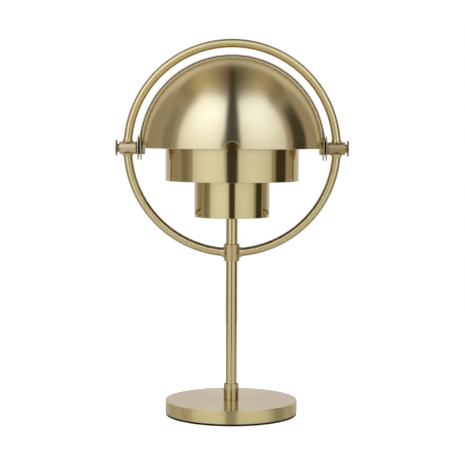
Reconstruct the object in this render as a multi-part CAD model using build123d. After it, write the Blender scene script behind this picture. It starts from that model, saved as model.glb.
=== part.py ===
from build123d import *
from math import degrees
import os

# Dome shade desk lamp, in millimetres.
# The origin is the middle of the underside, +Z is up, the shades turn about an axis along X,
# and the front of the lamp looks along -Y.

# Clearances
face_clearance = 0.1        # between flat faces of pieces that turn on each other
running_clearance = 0.05    # round a shaft that turns in its hole
slip_clearance = 0.05       # round a fixed shaft, tube or shell in its hole

# Base
base_radius = 88.25
base_cover_height = 16.7
base_cover_wall = 1.2
base_edge = 0.6
foot_pad_height = 2.9
foot_pad_inset = 0.7
weight_side_gap = 0.3
weight_recess_radius = 34.0
weight_recess_depth = 10.0
cord_bush_bore_radius = 3.2
cord_bush_wall = 1.6
cord_bush_flange = 1.8
cord_bush_flange_height = 2.0
cord_bush_edge = 0.6
cord_bush_depth = 7.0
cord_bush_rise = 7.0        # bush axis above the foot pad
cord_channel_gap = 0.4

# Stem
stem_radius = 7.5
stem_wall = 1.5
stem_drop = 72.0            # top of the stem below the pivot axis
stem_washer_radius = 13.0
stem_washer_height = 1.5
stem_nut_flats = 24.0
stem_nut_height = 4.5
stem_end_below_nut = 1.0
collar_radius = 10.0
collar_height = 21.5
turned_edge = 0.6           # chamfer on turned barrels, collar and boss

# Ring and barrels
pivot_height = 355.8        # pivot axis above the table
ring_bar_radius = 5.7
barrel_radius = 8.45
barrel_length = 22.2
boss_radius = 10.4
boss_height = 23.0
braze_width = 2.3           # how much the braze cone widens towards its seat
braze_reach = 5.0           # how far the braze cone runs along the ring bar
braze_tip_inset = 0.7       # how deep the tip of the braze cone lies in the bar

# Grub screws
grub_radius = 2.5
grub_length = 2.2
grub_socket_flats = 2.5
grub_socket_depth = 1.4

# Shades
back_shade_radius = 124.0   # outside of the larger shade
shade_sheet = 1.2
shade_gap = 2.0             # between the two nested shades
lug_radius = 16.6
outer_lug_proud = 1.2       # face of a lug beyond the pole of its shade
inner_lug_proud = 0.6
lug_edge = 0.4
notch_clearance = 2.6       # round the stem when a rim swings down to it
relief_height = 9.1
relief_depth = 4.8          # in from the pole, beside each lug

# Pivots
pivot_screw_radius = 3.0
pivot_neck_radius = 5.45
pivot_neck_length = 3.0
pivot_head_radius = 10.45
pivot_head_length = 1.7
pivot_head_edge = 0.4
friction_washer_radius = 8.5
outer_washer_length = 1.5
end_washer_radius = 8.0
end_washer_length = 0.6
clamp_nut_radius = 8.75
clamp_nut_length = 4.3
clamp_nut_floor = 1.2
clamp_nut_edge = 0.5
pivot_thread_end_gap = 0.3

# Drums and their carriers
outer_drum_radius = 88.6
outer_drum_half_height = 43.0
inner_drum_radius = 49.9
inner_drum_bottom = 91.0    # below the pivot axis
inner_drum_top = 6.0        # above the pivot axis
drum_wall = 1.0
drum_edge = 0.25
carrier_sheet = 1.5
carrier_arm_width = 12.0
carrier_tab_height = 10.0
carrier_arms = 3
lower_carrier_hub_radius = 16.0
upper_carrier_hub_width = 3.5
upper_carrier_drop = 12.0   # below the pivot axis

# Lampholder
nipple_radius = 5.0
nipple_bore_radius = 3.4
nipple_plug_length = 12.0
nipple_flange_height = 2.0
nipple_thread_length = 9.0
holder_radius = 19.5
holder_cap_height = 14.0
holder_cap_foot_radius = 12.0
holder_cap_wall = 1.8
holder_body_height = 38.0
holder_floor = 8.0
holder_edge = 1.2
holder_shell_height = 20.0
holder_shell_wall = 0.5

# Bulb
bulb_cap_radius = 13.0
bulb_cap_height = 22.0
bulb_cap_wall = 0.6
bulb_contact_radius = 4.5
bulb_contact_height = 1.5
bulb_neck_radius = 12.3
bulb_neck_seat = 4.0        # how deep the neck sits in the cap
bulb_globe_radius = 22.5
bulb_globe_rise = 33.0      # globe centre above the bulb cap
bulb_flare_drop = 24.0      # start of the flare below the globe centre
bulb_flare_length = 11.0
bulb_flare_radius = 16.5    # at the top of the flare, inside the globe
bulb_glass_wall = 1.0

# Heights and places that follow from the sizes above
base_top = foot_pad_height + base_cover_height
weight_top = base_top - base_cover_wall
weight_recess_top = foot_pad_height + weight_recess_depth
stem_nut_bottom = weight_recess_top - stem_washer_height - stem_nut_height
stem_bottom = stem_nut_bottom - stem_end_below_nut
stem_top = pivot_height - stem_drop
stem_hole_radius = stem_radius + slip_clearance
cord_bush_radius = cord_bush_bore_radius + cord_bush_wall
cord_bush_height = foot_pad_height + cord_bush_rise

front_shade_radius = back_shade_radius - shade_sheet - shade_gap
outer_lug_face = back_shade_radius + outer_lug_proud
inner_lug_face = front_shade_radius + inner_lug_proud
clamp_nut_face = inner_lug_face - shade_sheet - face_clearance
outer_washer_face = outer_lug_face + face_clearance
end_washer_face = outer_washer_face + outer_washer_length
barrel_face = end_washer_face + end_washer_length
ring_radius = barrel_face + barrel_length / 2
barrel_end = barrel_face + barrel_length
boss_bottom = pivot_height - ring_radius - boss_height / 2
lug_hole_radius = pivot_screw_radius + running_clearance
pivot_hole_radius = pivot_screw_radius + slip_clearance

holder_cap_bottom = stem_top + nipple_flange_height + carrier_sheet
holder_body_bottom = holder_cap_bottom + holder_cap_height
bulb_cap_bottom = holder_body_bottom + holder_floor + bulb_contact_height
bulb_cap_top = bulb_cap_bottom + bulb_cap_height
holder_shell_radius = bulb_cap_radius + slip_clearance + holder_shell_wall

upright = (Align.CENTER, Align.CENTER, Align.MIN)


def post(radius, bottom, top):
    """Round bar along Z, on the lamp's axis."""
    return Pos(0, 0, bottom) * Cylinder(radius, top - bottom, align=upright)


def sleeve(radius, bore, bottom, top):
    """Round bar along Z with a through bore."""
    return post(radius, bottom, top) - post(bore, bottom, top)


def axle(radius, start, end):
    """Round bar along the pivot axis, from X = start to X = end, at the right-hand side."""
    return Pos(start, 0, pivot_height) * Rot(0, 90, 0) * Cylinder(radius, end - start, align=upright)


def pivot_disc(radius, bore, start, end):
    """Round bar with a through bore along the pivot axis."""
    return axle(radius, start, end) - axle(bore, start, end)


def left_of(part):
    """The left-hand twin of a right-hand piece."""
    return mirror(part, about=Plane.YZ)


def both_sides(part):
    """A pair of loose pieces, right and left, for one node."""
    return Compound(children=[part.solid(), left_of(part).solid()])


def round_edges_at(part, height):
    """The circular edges of an upright part that lie at one height."""
    return part.edges().filter_by(GeomType.CIRCLE).filter_by_position(Axis.Z, height, height)


# Base

def foot_pad():
    return post(base_radius - foot_pad_inset, 0, foot_pad_height)


def cord_hole(radius, start, end):
    """Round bar along Y on the axis of the cord inlet."""
    bar = Rot(-90, 0, 0) * Cylinder(radius, end - start, align=upright)
    return Pos(0, start, cord_bush_height) * bar


def base_cover():
    cover = post(base_radius, foot_pad_height, base_top)
    cover = chamfer(round_edges_at(cover, base_top), base_edge)
    cover -= post(base_radius - base_cover_wall, foot_pad_height, weight_top)
    cover -= post(stem_hole_radius, weight_top, base_top)
    return cover - cord_hole(cord_bush_radius + slip_clearance, 0, base_radius)


def base_weight():
    weight_radius = base_radius - base_cover_wall - weight_side_gap
    weight = sleeve(weight_radius, stem_hole_radius, foot_pad_height, weight_top)
    weight -= post(weight_recess_radius, foot_pad_height, weight_recess_top)
    channel_half_width = cord_bush_radius + cord_channel_gap
    channel_height = cord_bush_rise + channel_half_width
    channel = Box(2 * channel_half_width, weight_radius, channel_height,
                  align=(Align.CENTER, Align.MIN, Align.MIN))
    return weight - Pos(0, 0, foot_pad_height) * channel


def cord_bush():
    flange_end = base_radius + cord_bush_flange_height
    bush = cord_hole(cord_bush_radius, base_radius - cord_bush_depth, base_radius)
    bush += cord_hole(cord_bush_radius + cord_bush_flange, base_radius, flange_end)
    bush = chamfer(bush.edges().filter_by_position(Axis.Y, flange_end, flange_end), cord_bush_edge)
    return bush - cord_hole(cord_bush_bore_radius, base_radius - cord_bush_depth, flange_end)


# Stem

def stem_tube():
    return sleeve(stem_radius, stem_radius - stem_wall, stem_bottom, stem_top)


def stem_washer():
    washer_bottom = weight_recess_top - stem_washer_height
    return sleeve(stem_washer_radius, stem_hole_radius, washer_bottom, weight_recess_top)


def stem_nut():
    outline = RegularPolygon(stem_nut_flats / 2, 6, major_radius=False) - Circle(stem_hole_radius)
    return Pos(0, 0, stem_nut_bottom) * extrude(outline, stem_nut_height)


def grub_hole(radius, height, length):
    """Round bar that runs backwards from the stem's surface, at one height."""
    bar = Rot(-90, 0, 0) * Cylinder(radius, length, align=upright)
    return Pos(0, stem_radius, height) * bar


def turned_sleeve(radius, bottom, top, screw_height):
    """Turned brass sleeve on the stem, drilled from behind for its grub screw."""
    body = post(radius, bottom, top)
    body = chamfer(round_edges_at(body, bottom) + round_edges_at(body, top), turned_edge)
    body -= post(stem_hole_radius, bottom, top)
    return body - grub_hole(grub_radius + slip_clearance, screw_height, radius)


def collar_screw_height():
    return base_top + collar_height / 2


def boss_screw_height():
    return boss_bottom + boss_height / 2


def base_collar():
    return turned_sleeve(collar_radius, base_top, base_top + collar_height, collar_screw_height())


def ring_boss():
    return turned_sleeve(boss_radius, boss_bottom, boss_bottom + boss_height, boss_screw_height())


def grub_screw(height):
    socket_radius = grub_socket_flats / 2
    screw = Cylinder(grub_radius, grub_length, align=upright)
    socket = extrude(RegularPolygon(socket_radius, 6, major_radius=False), grub_socket_depth)
    screw -= Pos(0, 0, grub_length - grub_socket_depth) * socket
    return Pos(0, stem_radius + slip_clearance, height) * Rot(-90, 0, 0) * screw


def grub_screws():
    heights = (collar_screw_height(), boss_screw_height())
    return Compound(children=[grub_screw(height).solid() for height in heights])


# Ring

def ring_bend(angle):
    """Round bar bent to the ring's radius, from the right-hand side downwards, about the pivot axis."""
    return revolve(Pos(ring_radius, 0) * Circle(ring_bar_radius), Axis.Y, angle)


def braze_flare(seat_radius):
    """Cone at the start of a bend, where the bar is brazed to a barrel or the boss."""
    reach = seat_radius + braze_reach
    cone = Rot(180, 0, 0) * Cone(ring_bar_radius + braze_width, ring_bar_radius - braze_tip_inset, reach)
    return Rot(0, degrees(reach / 2 / ring_radius), 0) * Pos(ring_radius, 0, 0) * cone


def barrel_seat():
    """Outside of the right-hand barrel, about the pivot axis."""
    return Pos(ring_radius, 0, 0) * Rot(0, 90, 0) * Cylinder(barrel_radius, barrel_length)


def upper_ring_arc():
    """Half of the ring, over the top from barrel to barrel."""
    barrel_flare = braze_flare(barrel_radius)
    arc = ring_bend(180) + barrel_flare + left_of(barrel_flare)
    arc -= barrel_seat() + left_of(barrel_seat())
    return Pos(0, 0, pivot_height) * Rot(180, 0, 0) * arc


def lower_ring_arc():
    """Right-hand quarter of the ring, from the barrel down to the boss."""
    boss_flare = Rot(0, 90, 0) * mirror(braze_flare(boss_radius), about=Plane.XY)
    boss_seat = Pos(0, 0, -ring_radius) * Cylinder(boss_radius, boss_height)
    arc = ring_bend(90) + braze_flare(barrel_radius) + boss_flare
    return Pos(0, 0, pivot_height) * (arc - barrel_seat() - boss_seat)


def barrel():
    body = axle(barrel_radius, barrel_face, barrel_end)
    body = chamfer(body.edges().filter_by(GeomType.CIRCLE), turned_edge)
    return body - axle(pivot_hole_radius, barrel_face, barrel_end)


# Pivots

def pivot_screw():
    neck_end = barrel_end + pivot_neck_length
    head_end = neck_end + pivot_head_length
    thread_end = clamp_nut_face - clamp_nut_length + clamp_nut_floor + pivot_thread_end_gap
    head = axle(pivot_head_radius, neck_end, head_end)
    head = chamfer(head.edges().filter_by(GeomType.CIRCLE), pivot_head_edge)
    neck = axle(pivot_neck_radius, barrel_end, neck_end)
    return head + neck + axle(pivot_screw_radius, thread_end, barrel_end)


def end_washer():
    return pivot_disc(end_washer_radius, pivot_hole_radius, end_washer_face, barrel_face)


def outer_friction_washer():
    return pivot_disc(friction_washer_radius, pivot_hole_radius, outer_washer_face, end_washer_face)


def inner_friction_washer():
    start = inner_lug_face + face_clearance
    end = outer_lug_face - shade_sheet - face_clearance
    return pivot_disc(friction_washer_radius, pivot_hole_radius, start, end)


def clamp_nut():
    nut_end = clamp_nut_face - clamp_nut_length
    nut = axle(clamp_nut_radius, nut_end, clamp_nut_face)
    nut = chamfer(nut.edges().filter_by(GeomType.CIRCLE), clamp_nut_edge)
    return nut - axle(pivot_hole_radius, nut_end + clamp_nut_floor, clamp_nut_face)


# Shades

def shade_section(radius, lug_face):
    """Half section of one shade: an arched sheet that ends in the wall under each lug."""
    arch = Circle(radius) - Circle(radius - shade_sheet)
    arch &= Pos(0, lug_radius) * Rectangle(2 * radius, radius, align=(Align.CENTER, Align.MIN))
    wall_foot = ((radius - shade_sheet) ** 2 - lug_radius ** 2) ** 0.5
    wall_height = lug_face - shade_sheet - wall_foot
    wall = Pos(wall_foot, lug_radius) * Rectangle(wall_height, shade_sheet, align=(Align.MIN, Align.MAX))
    return arch + wall + mirror(wall, about=Plane.YZ)


def shade(radius, lug_face):
    """One shade as it lies at the back: from the rim plane up to the upright plane."""
    shell = revolve(shade_section(radius, lug_face), Axis.X, 90)
    relief = Box(2 * relief_depth, radius, relief_height, align=(Align.CENTER, Align.MIN, Align.MIN))
    shell -= Pos(radius, 0, 0) * relief
    shell -= Pos(-radius, 0, 0) * relief
    shell -= Rot(-90, 0, 0) * Cylinder(stem_radius + notch_clearance, 2 * radius, align=upright)
    lug = Rot(0, 90, 0) * Cylinder(lug_radius, shade_sheet, align=upright)
    lug = chamfer(lug.edges().filter_by(GeomType.CIRCLE).sort_by(Axis.X)[-1:], lug_edge)
    lug = Pos(lug_face - shade_sheet, 0, 0) * lug
    lug_hole = Rot(0, 90, 0) * Cylinder(lug_hole_radius, 4 * radius)
    return shell + lug + mirror(lug, about=Plane.YZ) - lug_hole


def back_shade():
    return Pos(0, 0, pivot_height) * shade(back_shade_radius, outer_lug_face)


def front_shade():
    return Pos(0, 0, pivot_height) * mirror(shade(front_shade_radius, inner_lug_face), about=Plane.XZ)


# Drums

def drum(radius, bottom, top):
    wall = sleeve(radius, radius - drum_wall, bottom, top)
    return chamfer(round_edges_at(wall, bottom) + round_edges_at(wall, top), drum_edge)


def outer_drum():
    return drum(outer_drum_radius, pivot_height - outer_drum_half_height, pivot_height + outer_drum_half_height)


def inner_drum():
    return drum(inner_drum_radius, pivot_height - inner_drum_bottom, pivot_height + inner_drum_top)


def carrier(bore, hub_radius, wall_radius, bottom):
    """Sheet spider: a hub with three arms, each bent up into a tab against a drum's wall."""
    top = bottom + carrier_sheet
    tab_top = bottom + carrier_tab_height
    arms = Part()
    for turn in range(carrier_arms):
        arm = Box(wall_radius, carrier_arm_width, carrier_tab_height, align=(Align.MIN, Align.CENTER, Align.MIN))
        arms += Pos(0, 0, bottom) * Rot(0, 0, 90 + turn * 360 / carrier_arms) * arm
    sheet = post(wall_radius, bottom, tab_top) - post(wall_radius - carrier_sheet, top, tab_top)
    return post(hub_radius, bottom, top) + (arms & sheet) - post(bore, bottom, tab_top)


def lower_carrier():
    wall_radius = inner_drum_radius - drum_wall - slip_clearance
    bore = nipple_radius + slip_clearance
    return carrier(bore, lower_carrier_hub_radius, wall_radius, stem_top + nipple_flange_height)


def upper_carrier():
    wall_radius = outer_drum_radius - drum_wall - slip_clearance
    bore = inner_drum_radius + slip_clearance
    return carrier(bore, bore + upper_carrier_hub_width, wall_radius, pivot_height - upper_carrier_drop)


# Lampholder and bulb

def holder_nipple():
    plug_radius = stem_radius - stem_wall - slip_clearance
    flange_top = stem_top + nipple_flange_height
    nipple_top = flange_top + carrier_sheet + nipple_thread_length
    nipple = post(plug_radius, stem_top - nipple_plug_length, stem_top)
    nipple += post(stem_radius, stem_top, flange_top)
    nipple += post(nipple_radius, flange_top, nipple_top)
    return nipple - post(nipple_bore_radius, stem_top - nipple_plug_length, nipple_top)


def holder_cap():
    outside = Pos(0, 0, holder_cap_bottom) * Cone(holder_cap_foot_radius, holder_radius,
                                                  holder_cap_height, align=upright)
    inside = Pos(0, 0, holder_cap_bottom + holder_cap_wall) * Cone(
        holder_cap_foot_radius - holder_cap_wall, holder_radius - holder_cap_wall,
        holder_cap_height - holder_cap_wall, align=upright)
    bore = post(nipple_radius + slip_clearance, holder_cap_bottom, holder_body_bottom)
    return outside - inside - bore


def holder_body():
    body_top = holder_body_bottom + holder_body_height
    body = post(holder_radius, holder_body_bottom, body_top)
    body = chamfer(round_edges_at(body, body_top), holder_edge)
    floor_top = holder_body_bottom + holder_floor
    return body - post(holder_shell_radius + slip_clearance, floor_top, body_top)


def holder_shell():
    floor_top = holder_body_bottom + holder_floor
    bore = holder_shell_radius - holder_shell_wall
    return sleeve(holder_shell_radius, bore, floor_top, floor_top + holder_shell_height)


def bulb_cap():
    cap = post(bulb_cap_radius, bulb_cap_bottom, bulb_cap_top)
    cap -= post(bulb_cap_radius - bulb_cap_wall, bulb_cap_bottom + bulb_cap_wall, bulb_cap_top)
    return cap + post(bulb_contact_radius, bulb_cap_bottom - bulb_contact_height, bulb_cap_bottom)


def bulb_form(inset):
    """Solid globe, flare and neck, with the whole surface set in by one distance."""
    globe_height = bulb_cap_top + bulb_globe_rise
    neck_radius = bulb_neck_radius - inset
    flare = Cone(neck_radius, bulb_flare_radius - inset, bulb_flare_length, align=upright)
    form = Pos(0, 0, globe_height) * Sphere(bulb_globe_radius - inset)
    form += Pos(0, 0, globe_height - bulb_flare_drop) * flare
    return form + post(neck_radius, bulb_cap_top - bulb_neck_seat, globe_height - bulb_flare_drop)


def bulb_glass():
    return bulb_form(0) - bulb_form(bulb_glass_wall)


nodes = {
    "foot_pad": foot_pad(),
    "base_cover": base_cover(),
    "base_weight": base_weight(),
    "cord_bush": cord_bush(),
    "stem_tube": stem_tube(),
    "stem_washer": stem_washer(),
    "stem_nut": stem_nut(),
    "base_collar": base_collar(),
    "grub_screws": grub_screws(),
    "ring_boss": ring_boss(),
    "upper_ring_arc": upper_ring_arc(),
    "lower_right_ring_arc": lower_ring_arc(),
    "lower_left_ring_arc": left_of(lower_ring_arc()),
    "right_barrel": barrel(),
    "left_barrel": left_of(barrel()),
    "right_pivot_screw": pivot_screw(),
    "left_pivot_screw": left_of(pivot_screw()),
    "end_washers": both_sides(end_washer()),
    "outer_friction_washers": both_sides(outer_friction_washer()),
    "inner_friction_washers": both_sides(inner_friction_washer()),
    "right_clamp_nut": clamp_nut(),
    "left_clamp_nut": left_of(clamp_nut()),
    "front_shade": front_shade(),
    "back_shade": back_shade(),
    "outer_drum": outer_drum(),
    "inner_drum": inner_drum(),
    "upper_carrier": upper_carrier(),
    "lower_carrier": lower_carrier(),
    "holder_nipple": holder_nipple(),
    "holder_cap": holder_cap(),
    "holder_body": holder_body(),
    "holder_shell": holder_shell(),
    "bulb_cap": bulb_cap(),
    "bulb_glass": bulb_glass(),
}

os.makedirs("parts", exist_ok=True)
for name, part in nodes.items():
    export_step(part, f"parts/{name}.step")
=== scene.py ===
# %% [markdown]
# # A brass desk lamp with a dome that opens
#
# The lamp is nearly all one metal: lacquered brass, spun, turned, bent and brazed. Brass is first
# of all a tinted mirror. So this lesson is half about the pieces, which are turned on a lathe of
# mesh code, and half about the room that they mirror.
#
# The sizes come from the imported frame. Blender adds what a lathe hand and a polisher add: small
# rounded edges, the direction of the brushing, and the lacquer.

# %% Load the frame
from math import acos, asin, atan2, cos, hypot, pi, radians, sin, sqrt, tan

import bpy
from mathutils import Matrix, Vector
from mathutils.geometry import delaunay_2d_cdt


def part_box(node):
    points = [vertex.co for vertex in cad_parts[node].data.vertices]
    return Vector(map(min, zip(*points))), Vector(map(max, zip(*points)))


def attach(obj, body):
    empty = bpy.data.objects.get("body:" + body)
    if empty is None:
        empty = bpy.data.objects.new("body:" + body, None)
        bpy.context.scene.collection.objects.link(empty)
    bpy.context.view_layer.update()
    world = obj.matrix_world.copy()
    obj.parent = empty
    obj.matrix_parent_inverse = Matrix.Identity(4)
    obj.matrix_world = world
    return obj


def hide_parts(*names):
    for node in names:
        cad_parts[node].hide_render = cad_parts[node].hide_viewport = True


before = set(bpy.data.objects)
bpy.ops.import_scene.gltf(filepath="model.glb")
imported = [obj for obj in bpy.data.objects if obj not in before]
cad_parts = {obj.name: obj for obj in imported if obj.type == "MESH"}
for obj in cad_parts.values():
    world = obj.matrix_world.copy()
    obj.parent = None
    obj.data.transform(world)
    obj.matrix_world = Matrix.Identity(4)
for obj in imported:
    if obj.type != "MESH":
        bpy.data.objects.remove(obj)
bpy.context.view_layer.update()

MM = 0.001

# %% [markdown]
# ## The camera
#
# A product camera stands two metres off with a long lens, a little above the pivots, and looks
# slightly down, so that the base shows its top. A shorter lens closer by would stretch the dome.

# %% Camera
image_pixels = 465
focal_pixels = 1461.0
sensor_width_mm = 36.0
camera_place = Vector((0.0009, -1.9411, 0.3830))
camera_tilt_down = 4.106
camera_roll = 0.26

camera_data = bpy.data.cameras.new("product_camera")
camera_data.sensor_width = sensor_width_mm
camera_data.lens = focal_pixels / image_pixels * sensor_width_mm
camera = bpy.data.objects.new("product_camera", camera_data)
bpy.context.scene.collection.objects.link(camera)
look = (Matrix.Rotation(radians(90 - camera_tilt_down), 4, "X")
        @ Matrix.Rotation(radians(camera_roll), 4, "Z"))
camera.matrix_world = Matrix.Translation(camera_place) @ look
bpy.context.scene.camera = camera
print("lens:", round(camera_data.lens, 1), "mm")

# %% [markdown]
# ## Colours and nodes
#
# Colours are written as a painter picks them, in sRGB, and one function turns them to the linear
# values that a renderer counts in. One more adds a shader node with its settings and links.

# %% Helpers for materials
def linear(hex_colour):
    """The linear RGBA of an sRGB hex colour such as e7d4aa."""
    shares = [int(hex_colour[i:i + 2], 16) / 255 for i in (0, 2, 4)]
    return [s / 12.92 if s <= 0.04045 else ((s + 0.055) / 1.055) ** 2.4 for s in shares] + [1.0]


def add_node(tree, kind, values=None, links=None, **properties):
    """Adds a node with its properties, input values and links.

    A link comes from a socket, or from the first output of a node.
    """
    node = tree.nodes.new(kind)
    for name, setting in properties.items():
        setattr(node, name, setting)
    for socket, value in (values or {}).items():
        node.inputs[socket].default_value = value
    for socket, source in (links or {}).items():
        output = source.outputs[0] if isinstance(source, bpy.types.Node) else source
        tree.links.new(output, node.inputs[socket])
    return node


def bare_tree(owner):
    """The node tree of a material or a world, without the nodes that it comes with."""
    owner.use_nodes = True
    owner.node_tree.nodes.clear()
    return owner.node_tree


def new_material(name, shader_values, links_of=None):
    """A material with one Principled shader. links_of builds the nodes that feed its inputs."""
    material = bpy.data.materials.new(name)
    tree = bare_tree(material)
    links = links_of(tree) if links_of else {}
    shader = add_node(tree, "ShaderNodeBsdfPrincipled", shader_values, links)
    add_node(tree, "ShaderNodeOutputMaterial", links={"Surface": shader})
    return material


print("e7d4aa in linear values:", [round(share, 3) for share in linear("e7d4aa")])

# %% [markdown]
# ## The studio
#
# Polished metal shows its surroundings, so the studio is part of the finish. Two tall softboxes
# stand left and right of the camera, and the gap between them is the dark stripe down the middle
# of every round piece. Black cloth in the gap, wider at the foot, opens the stripe towards the
# dome's rim. A black flag on the right and a grey one on the left draw the dark bands near the
# edges. Over the lamp two warm boards glow faintly, and the slit between them carries the stripe
# over the top. Behind hangs white paper, and the lamp stands on glossy white acrylic.
#
# A picture wrapped round the world could do this too. Boards are used because each can be moved by
# itself. They show only in the metal; the table shows to the camera too, and keeps the shadow.

# %% Softbox glow
daylight_hot = "c8daff"
daylight_edge = "f0f1f4"
roof_hot = "fff1c4"
roof_edge = "ffe2a6"


def glow_material(name, hot, edge, hot_spot, reach, hot_colour, edge_colour):
    """Light that fades and changes colour from a hot spot outwards. Reaches are in metres."""
    material = bpy.data.materials.new(name)
    tree = bare_tree(material)
    place = add_node(tree, "ShaderNodeTexCoord")
    shifted = add_node(tree, "ShaderNodeVectorMath", {1: hot_spot},
                       {0: place.outputs["Object"]}, operation="SUBTRACT")
    scaled = add_node(tree, "ShaderNodeVectorMath", {1: (1 / reach[0], 1 / reach[1], 0)},
                      {0: shifted}, operation="MULTIPLY")
    length = add_node(tree, "ShaderNodeVectorMath", links={0: scaled}, operation="LENGTH")
    away = length.outputs["Value"]
    strength = add_node(tree, "ShaderNodeMapRange", {"To Min": hot, "To Max": edge},
                        {"Value": away}, interpolation_type="SMOOTHSTEP")
    colour = add_node(tree, "ShaderNodeMix", {6: linear(hot_colour), 7: linear(edge_colour)},
                      {"Factor": away}, data_type="RGBA")
    glow = add_node(tree, "ShaderNodeEmission",
                    links={"Color": colour.outputs[2], "Strength": strength})
    add_node(tree, "ShaderNodeOutputMaterial", links={"Surface": glow})
    return material


print("softboxes:", daylight_hot, "in the middle,", daylight_edge, "at the edges")

# %% Cloth, paper and acrylic
def light_paths(tree):
    """1 for camera rays, and 1 for rays that left a metal or went through glass."""
    path = add_node(tree, "ShaderNodeLightPath")
    mirrored = add_node(tree, "ShaderNodeMath", operation="MAXIMUM",
                        links={0: path.outputs["Is Glossy Ray"],
                               1: path.outputs["Is Transmission Ray"]})
    return path.outputs["Is Camera Ray"], mirrored


def cloth_material(name, colour):
    """Matt flag cloth that keeps light off the metal."""
    return new_material(name, {"Base Color": linear(colour), "Roughness": 0.95})


def paper_material(name, metal_white, side_white, half_width):
    """White background paper: white to the camera, and nearly so in the metal and its lacquer."""
    material = bpy.data.materials.new(name)
    tree = bare_tree(material)
    camera_ray, mirrored_ray = light_paths(tree)
    lit = add_node(tree, "ShaderNodeBsdfDiffuse", {"Color": linear("e6e6e6")})
    white = add_node(tree, "ShaderNodeEmission")
    place = add_node(tree, "ShaderNodeTexCoord")
    spot = add_node(tree, "ShaderNodeSeparateXYZ", links={0: place.outputs["Object"]})
    sideways = add_node(tree, "ShaderNodeMath", links={0: spot}, operation="ABSOLUTE")
    fall = add_node(tree, "ShaderNodeMapRange",
                    {"From Min": half_width * 0.4, "From Max": half_width,
                     "To Min": metal_white, "To Max": side_white}, {"Value": sideways})
    in_metal = add_node(tree, "ShaderNodeMath", links={0: mirrored_ray, 1: fall},
                        operation="MULTIPLY")
    share = add_node(tree, "ShaderNodeMath", links={0: in_metal, 1: camera_ray},
                     operation="MAXIMUM")
    surface = add_node(tree, "ShaderNodeMixShader", links={0: share, 1: lit, 2: white})
    add_node(tree, "ShaderNodeOutputMaterial", links={"Surface": surface})
    return material


def acrylic_material(name, seen_white, metal_white):
    """Glossy white acrylic. The camera sees it white, less what the lamp's shadow takes away."""
    material = bpy.data.materials.new(name)
    tree = bare_tree(material)
    sheet = add_node(tree, "ShaderNodeBsdfPrincipled",
                     {"Base Color": linear("e8e8e8"), "Roughness": 0.10})
    seen, in_metal = (add_node(tree, "ShaderNodeMath", {1: white}, {0: ray}, operation="MULTIPLY")
                      for white, ray in zip((seen_white, metal_white), light_paths(tree)))
    strength = add_node(tree, "ShaderNodeMath", links={0: seen, 1: in_metal},
                        operation="MAXIMUM")
    glow = add_node(tree, "ShaderNodeEmission", links={"Strength": strength})
    top = add_node(tree, "ShaderNodeAddShader", links={0: sheet, 1: glow})
    side = add_node(tree, "ShaderNodeNewGeometry")
    clear = add_node(tree, "ShaderNodeBsdfTransparent")
    surface = add_node(tree, "ShaderNodeMixShader",
                       links={0: side.outputs["Backfacing"], 1: top, 2: clear})
    add_node(tree, "ShaderNodeOutputMaterial", links={"Surface": surface})
    return material


backdrop_width = 2.35
backdrop_height = 1.75
black_cloth = cloth_material("black_flag_cloth", "54482e")
grey_cloth = cloth_material("grey_flag_cloth", "c4b9a4")
backdrop_paper = paper_material("backdrop_paper", 0.80, 0.60, backdrop_width / 2)
white_acrylic = acrylic_material("white_acrylic", 0.86, 0.12)
print("backdrop:", backdrop_width, "by", backdrop_height, "m")

# %% Studio boards
def stage_board(name, corners, material, place, seen):
    """A flat board of the studio. seen says whether it shows to the camera itself."""
    mesh = bpy.data.meshes.new(name)
    mesh.from_pydata(corners, [], [(0, 1, 2, 3)])
    board = bpy.data.objects.new(name, mesh)
    board.data.materials.append(material)
    board.matrix_world = place
    board.visible_camera = seen
    bpy.context.scene.collection.objects.link(board)


def panel(name, azimuth, distance, width, bottom, top, material):
    """An upright board that faces the lamp. Azimuth 0 is at the camera, 90 at its right."""
    turn = radians(azimuth)
    x, y = width / 2, (top - bottom) / 2
    centre = Vector((sin(turn) * distance, -cos(turn) * distance, (bottom + top) / 2))
    place = (Matrix.Translation(centre) @ Matrix.Rotation(turn, 4, "Z")
             @ Matrix.Rotation(radians(90), 4, "X"))
    stage_board(name, [(-x, -y, 0), (x, -y, 0), (x, y, 0), (-x, y, 0)], material, place, False)


def level_board(name, height, x_span, y_span, material, seen=False):
    """A level board or table top at one height."""
    (left, right), (front, back) = x_span, y_span
    corners = [(left, front, height), (right, front, height), (right, back, height),
               (left, back, height)]
    stage_board(name, corners, material, Matrix.Identity(4), seen)


softbox_distance = 1.25
softbox_width = 1.44
softbox_azimuth = 39
softbox_bottom = -0.35
hot_height = 1.75
hot_inward = 0.10
fade_reach = (1.45, 2.3)
edge_share = 0.38
for word, side, hot, softbox_top in (("left", -1, 2.36, 3.12), ("right", 1, 2.12, 2.95)):
    hot_spot = (-side * hot_inward, hot_height - (softbox_bottom + softbox_top) / 2, 0)
    glow = glow_material(f"softbox_{word}_glow", hot, hot * edge_share, hot_spot, fade_reach,
                         daylight_hot, daylight_edge)
    panel(f"softbox_{word}", side * softbox_azimuth, softbox_distance, softbox_width,
          softbox_bottom, softbox_top, glow)

roof_height = 3.0
roof_slit = 0.10
roof_far = 2.4
roof_depth = (-1.3, 1.7)
roof_hot_side = 1.3
roof_reach = (1.3, 9)
roof_edge_share = 0.2
for word, side, hot in (("left", -1, 0.59), ("right", 1, 0.46)):
    glow = glow_material(f"roof_{word}_glow", hot, hot * roof_edge_share,
                         (side * roof_hot_side, 0, 0), roof_reach, roof_hot, roof_edge)
    level_board(f"roof_{word}", roof_height, sorted((side * roof_slit, side * roof_far)),
                roof_depth, glow)

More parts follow.
